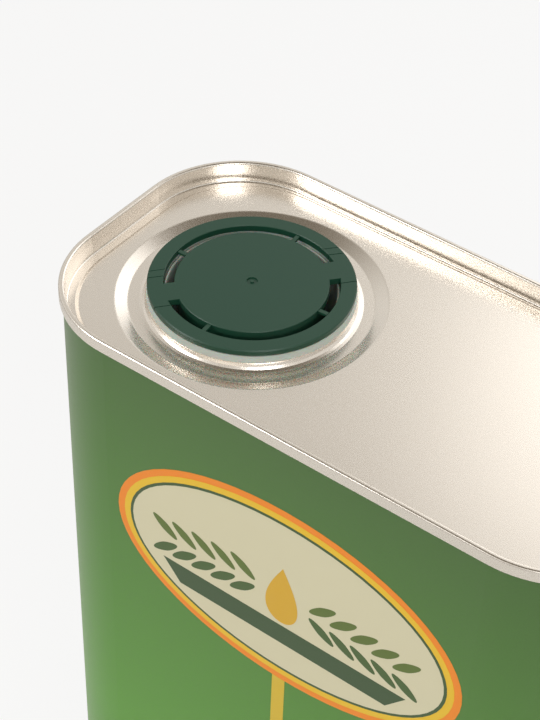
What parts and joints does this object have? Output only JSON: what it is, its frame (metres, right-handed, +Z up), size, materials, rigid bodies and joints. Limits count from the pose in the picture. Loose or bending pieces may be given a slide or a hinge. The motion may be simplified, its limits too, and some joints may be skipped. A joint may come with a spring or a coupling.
{
  "type": "oil tin",
  "caption": "Rounded rectangular tinplate oil tin with seamed ends and a pull-up plastic spout under a green screw cap with fold-up handles.",
  "frame": {"origin": "centre of the tin's base, on the surface it stands on", "axes": "+Z up, +X along the long side away from the closure, -Y out of the printed front"},
  "size_m": [0.1526, 0.0776, 0.295],
  "materials": {
    "printed_tinplate": "satin",
    "tinplate": "satin",
    "seam_compound": "matte",
    "natural_plastic": "satin",
    "liner_foam": "matte",
    "green_plastic": "satin"
  },
  "bodies": {
    "tin": {"can_body": "printed_tinplate", "top_end": "tinplate", "bottom_end": "tinplate", "top_compound": "seam_compound", "bottom_compound": "seam_compound", "spout_flange": "natural_plastic", "folded_wall": "natural_plastic"},
    "spout": {"spout_collar": "natural_plastic", "tear_membrane": "natural_plastic", "pull_ring": "natural_plastic"},
    "liner": {"cap_liner": "liner_foam"},
    "cap": {"cap": "green_plastic", "tamper_bridges": "green_plastic"},
    "front_handle": {"front_handle": "green_plastic"},
    "back_handle": {"back_handle": "green_plastic"}
  },
  "joints": [
    {"name": "spout_pull", "type": "slide", "parent": "tin", "child": "spout", "axis": [0, 0, 1], "range_m": [0, 0.034], "deforming": ["folded_wall"]},
    {"name": "cap_lift", "type": "slide", "parent": "spout", "child": "liner", "axis": [0, 0, 1], "range_m": [0, 0.0081]},
    {"name": "cap_turn", "type": "hinge", "parent": "liner", "child": "cap", "pos_m": [-0.0366, -0.0012, 0.2945], "axis": [0, 0, 1], "range_deg": [0, 720]},
    {"name": "front_fold", "type": "hinge", "parent": "cap", "child": "front_handle", "pos_m": [-0.033, -0.00422, 0.2945], "axis": [-0.6428, -0.766, 0], "range_deg": [0, 100]},
    {"name": "back_fold", "type": "hinge", "parent": "cap", "child": "back_handle", "pos_m": [-0.04089, 0.0024, 0.2945], "axis": [0.6428, 0.766, 0], "range_deg": [0, 100]}
  ],
  "couplings": [
    {"joint": "cap_lift", "follows": "cap_turn", "m_per_rad": 0.00063662}
  ]
}
